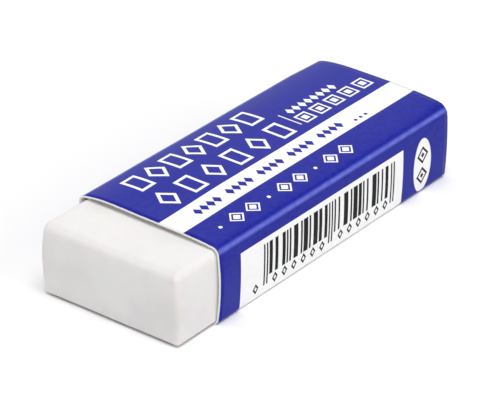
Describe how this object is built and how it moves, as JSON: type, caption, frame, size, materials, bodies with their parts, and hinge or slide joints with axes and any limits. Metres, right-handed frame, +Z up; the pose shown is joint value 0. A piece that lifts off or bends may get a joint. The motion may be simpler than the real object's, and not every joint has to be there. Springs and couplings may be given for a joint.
{
  "type": "rubber eraser",
  "caption": "Block eraser of white vinyl with rounded edges, held by friction in a folded blue and white card sleeve that slides back along the block as it wears.",
  "frame": {"origin": "on the surface it rests on, under the middle of the vinyl block's length and the sleeve's width", "axes": "+X along the length with the bare end at -X, +Y away from the sleeve's side with the bars, +Z up through the crowned panel"},
  "size_m": [0.05, 0.02, 0.01],
  "materials": {
    "white_vinyl": "matte",
    "printed_card": "satin"
  },
  "bodies": {
    "eraser": {"eraser_block": "white_vinyl"},
    "sleeve": {"card_sleeve": "printed_card"}
  },
  "joints": [
    {"name": "sleeve_slide", "type": "slide", "parent": "eraser", "child": "sleeve", "axis": [1, 0, 0], "range_m": [-0.0065, 0.0217]}
  ]
}
